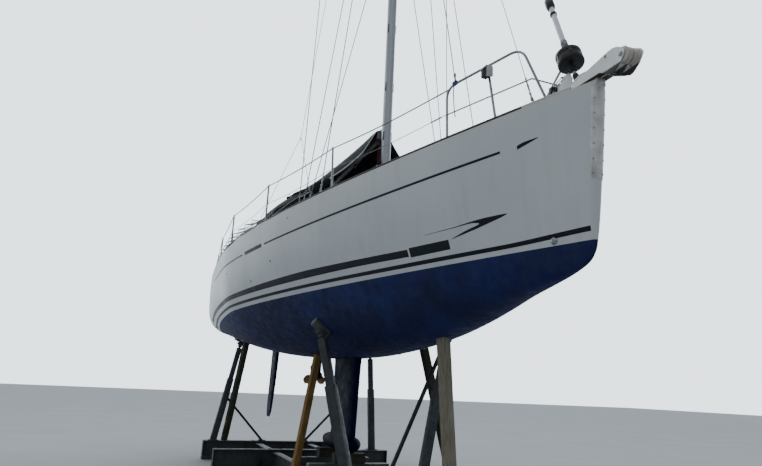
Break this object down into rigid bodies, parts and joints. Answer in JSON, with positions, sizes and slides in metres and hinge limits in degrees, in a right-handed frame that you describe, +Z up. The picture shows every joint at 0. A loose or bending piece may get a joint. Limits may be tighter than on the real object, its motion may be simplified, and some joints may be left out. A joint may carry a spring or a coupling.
{
  "type": "sailing yacht laid up in a cradle",
  "caption": "Cruising sailing yacht laid up ashore in a steel cradle: fin keel, spade rudder, mast with stays, furling gear, boom under a winter tent, guard rails, hatches.",
  "frame": {"origin": "on the ground, under the middle of the whole length and on the yacht's centreline", "axes": "+X to the bow, +Y to port, +Z up along the mast"},
  "size_m": [12.37, 3.7814, 18],
  "materials": {
    "gelcoat": "white gelcoat, weathered",
    "antifouling": "deep blue antifouling paint, matt",
    "deck_gelcoat": "off-white deck moulding",
    "alloy": "anodised alloy",
    "stainless": "stainless steel",
    "black_plastic": "black moulded plastic",
    "furler": "white foil sections and a black drum",
    "tinted_acrylic": "dark tinted acrylic",
    "tent_cloth": "dark green and black cover cloth",
    "bronze": "bronze",
    "galvanised": "weathered grey steel",
    "pale_timber": "pale weathered timber",
    "yellow_timber": "yellow-brown timber",
    "mossy_timber": "dark mossy timber"
  },
  "bodies": {
    "yacht": {"backstay": "stainless", "bow_roller_cheeks": "galvanised", "cap_shroud_port": "stainless", "cap_shroud_starboard": "stainless", "companionway_boards": "tinted_acrylic", "cradle_base": "galvanised", "cradle_post_aft_port": "galvanised", "cradle_post_aft_starboard": "galvanised", "cradle_post_forward_port": "galvanised", "cradle_post_forward_starboard": "galvanised", "cradle_post_middle_port": "galvanised", "deck_moulding": "deck_gelcoat", "forestay_head": "stainless", "forestay_screw": "stainless", "guard_rail_port": "stainless", "guard_rail_starboard": "stainless", "hull": "gelcoat", "intermediate_shroud_port": "stainless", "intermediate_shroud_starboard": "stainless", "keel": "antifouling", "keel_block_aft": "pale_timber", "keel_block_forward": "pale_timber", "lower_shroud_port": "stainless", "lower_shroud_starboard": "stainless", "lower_spreader_port": "alloy", "lower_spreader_starboard": "alloy", "mast": "alloy", "pedestal": "gelcoat", "prop_aft_starboard": "mossy_timber", "prop_beside_keel": "yellow_timber", "prop_forefoot": "pale_timber", "prop_forward_port": "mossy_timber", "pulpit": "stainless", "pushpit_port": "stainless", "pushpit_starboard": "stainless", "sail_drive_leg": "antifouling", "stem_fitting": "stainless", "toe_rail_port": "alloy", "toe_rail_starboard": "alloy", "upper_spreader_port": "alloy", "upper_spreader_starboard": "alloy", "window_port": "tinted_acrylic", "window_starboard": "tinted_acrylic", "winter_tent": "tent_cloth"},
    "rudder": {"rudder": "antifouling"},
    "steering_wheel": {"steering_wheel": "stainless"},
    "propeller": {"propeller": "bronze"},
    "headsail_furler": {"headsail_furler": "furler"},
    "boom": {"boom": "alloy"},
    "fore_hatch": {"fore_hatch_lid": "tinted_acrylic"},
    "saloon_hatch": {"saloon_hatch_lid": "tinted_acrylic"},
    "anchor_locker": {"anchor_locker_lid": "deck_gelcoat"},
    "companionway_hatch": {"companionway_slide": "tinted_acrylic"},
    "locker_port": {"cockpit_locker_lid_port": "deck_gelcoat"},
    "locker_starboard": {"cockpit_locker_lid_starboard": "deck_gelcoat"},
    "winch_port": {"winch_port": "stainless"},
    "winch_starboard": {"winch_starboard": "stainless"},
    "roller_port": {"anchor_roller_port": "black_plastic"},
    "roller_starboard": {"anchor_roller_starboard": "black_plastic"}
  },
  "joints": [
    {"name": "wheel_turn", "type": "hinge", "parent": "yacht", "child": "steering_wheel", "pos_m": [-4.685, 0, 3.93], "axis": [1, 0, 0], "range_deg": [-315, 315]},
    {"name": "rudder_turn", "type": "hinge", "parent": "yacht", "child": "rudder", "pos_m": [-5.235, 0, 2], "axis": [0, 0, 1], "range_deg": [-35, 35]},
    {"name": "propeller_spin", "type": "hinge", "parent": "yacht", "child": "propeller", "pos_m": [-1.735, 0, 1.65], "axis": [1, 0, 0], "continuous": true},
    {"name": "furler_turn", "type": "hinge", "parent": "yacht", "child": "headsail_furler", "pos_m": [5.575, 0, 3.89], "axis": [-0.3353, 0, 0.9421], "continuous": true},
    {"name": "boom_swing", "type": "hinge", "parent": "yacht", "child": "boom", "pos_m": [1.145, 0, 5.22], "axis": [0, 0, 1], "range_deg": [-5, 5], "deforming": ["winter_tent"]},
    {"name": "fore_hatch_open", "type": "hinge", "parent": "yacht", "child": "fore_hatch", "pos_m": [4.049, 0, 3.8003], "axis": [0, 1, 0], "range_deg": [0, 85]},
    {"name": "saloon_hatch_open", "type": "hinge", "parent": "yacht", "child": "saloon_hatch", "pos_m": [0.009, 0, 4.0903], "axis": [0, 1, 0], "range_deg": [0, 85]},
    {"name": "anchor_locker_open", "type": "hinge", "parent": "yacht", "child": "anchor_locker", "pos_m": [4.341, 0, 3.8253], "axis": [0, -1, 0], "range_deg": [0, 85]},
    {"name": "companionway_slide", "type": "slide", "parent": "yacht", "child": "companionway_hatch", "axis": [1, 0, 0], "range_m": [0, 0.6]},
    {"name": "locker_port_open", "type": "hinge", "parent": "yacht", "child": "locker_port", "pos_m": [-3.685, 0.88, 3.4003], "axis": [-1, 0, 0], "range_deg": [0, 85]},
    {"name": "locker_starboard_open", "type": "hinge", "parent": "yacht", "child": "locker_starboard", "pos_m": [-3.685, -0.88, 3.4003], "axis": [1, 0, 0], "range_deg": [0, 85]},
    {"name": "winch_port_turn", "type": "hinge", "parent": "yacht", "child": "winch_port", "pos_m": [-3.385, 1.065, 3.95], "axis": [0, 0, 1], "continuous": true},
    {"name": "winch_starboard_turn", "type": "hinge", "parent": "yacht", "child": "winch_starboard", "pos_m": [-3.385, -1.065, 3.95], "axis": [0, 0, 1], "continuous": true},
    {"name": "roller_port_turn", "type": "hinge", "parent": "yacht", "child": "roller_port", "pos_m": [6.105, 0.033, 3.89], "axis": [0, 1, 0], "continuous": true},
    {"name": "roller_starboard_turn", "type": "hinge", "parent": "yacht", "child": "roller_starboard", "pos_m": [6.105, -0.033, 3.89], "axis": [0, 1, 0], "continuous": true}
  ],
  "couplings": [
    {"joint": "rudder_turn", "follows": "wheel_turn", "ratio": 0.1111}
  ]
}
